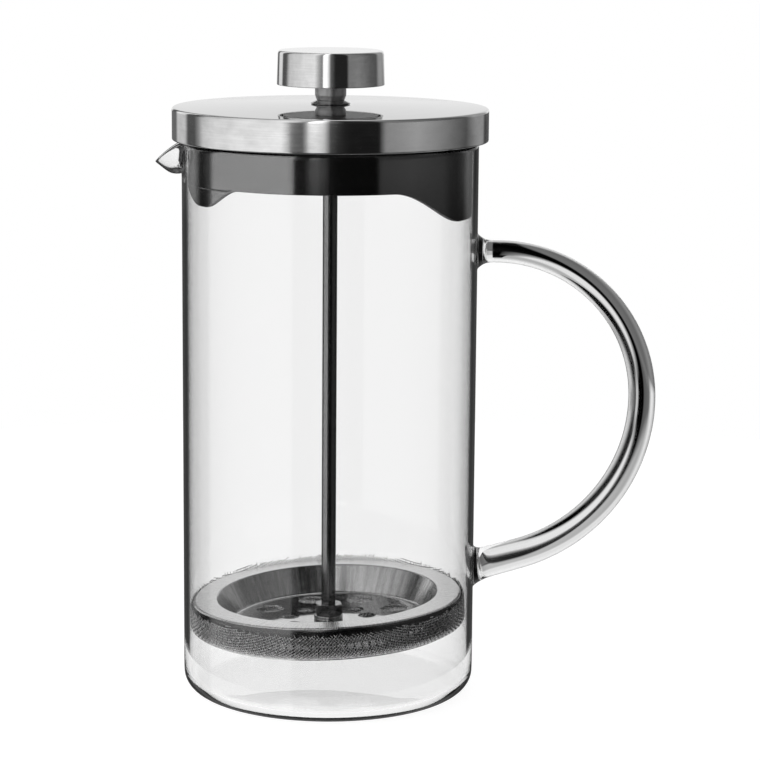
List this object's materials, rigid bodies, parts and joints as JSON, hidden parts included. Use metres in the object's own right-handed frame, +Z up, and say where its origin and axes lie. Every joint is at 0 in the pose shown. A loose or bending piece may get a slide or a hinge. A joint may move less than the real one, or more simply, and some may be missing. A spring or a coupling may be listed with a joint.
{
  "type": "french press",
  "caption": "Glass coffee press: cylindrical beaker with spout and fused glass loop handle, flat steel lid with plastic pour ring, and a knobbed plunger with layered mesh filter.",
  "frame": {"origin": "centre of the beaker's flat underside, on its axis", "axes": "+Z up along the beaker's axis, +X towards the handle, -X towards the spout"},
  "size_m": [0.1661, 0.1032, 0.2131],
  "materials": {
    "clear_glass": "clear borosilicate glass, fire-polished edges",
    "lid_steel": "fine horizontal brushing on the side, brighter spun top",
    "knob_steel": "brushed round its side, spun top",
    "rod_steel": "bright drawn rod",
    "turned_steel": "bright turned",
    "pressed_steel": "bright pressed sheet",
    "spring_steel": "bright wound wire",
    "woven_steel": "plain-woven fine wire",
    "black_plastic": "gloss black moulding",
    "core_plastic": "plain black moulding, hidden"
  },
  "bodies": {
    "beaker": {"glass_beaker": "clear_glass", "glass_handle": "clear_glass"},
    "lid": {"lid_cap": "lid_steel"},
    "pour_ring": {"pour_ring": "black_plastic"},
    "bush": {"rod_bush": "turned_steel", "bush_washer": "turned_steel", "bush_nut": "turned_steel"},
    "plunger": {"knob_shell": "knob_steel", "knob_core": "core_plastic", "knob_base": "turned_steel", "knob_neck": "turned_steel", "plunger_rod": "rod_steel", "clamp_nut": "turned_steel", "clamp_washer": "turned_steel", "dish_plate": "pressed_steel", "edge_coil": "spring_steel", "mesh_screen": "woven_steel", "cross_plate": "pressed_steel", "filter_hub": "turned_steel"}
  },
  "joints": [
    {"name": "lid_lift", "type": "slide", "parent": "beaker", "child": "lid", "axis": [0, 0, 1], "range_m": [0, 0.18]},
    {"name": "lid_turn", "type": "hinge", "parent": "lid", "child": "pour_ring", "pos_m": [0, 0, 0.187], "axis": [0, 0, 1], "continuous": true},
    {"name": "plunger_turn", "type": "hinge", "parent": "lid", "child": "bush", "pos_m": [0, 0, 0.1945], "axis": [0, 0, 1], "continuous": true},
    {"name": "plunger_stroke", "type": "slide", "parent": "bush", "child": "plunger", "axis": [0, 0, 1], "range_m": [0, 0.124]}
  ]
}
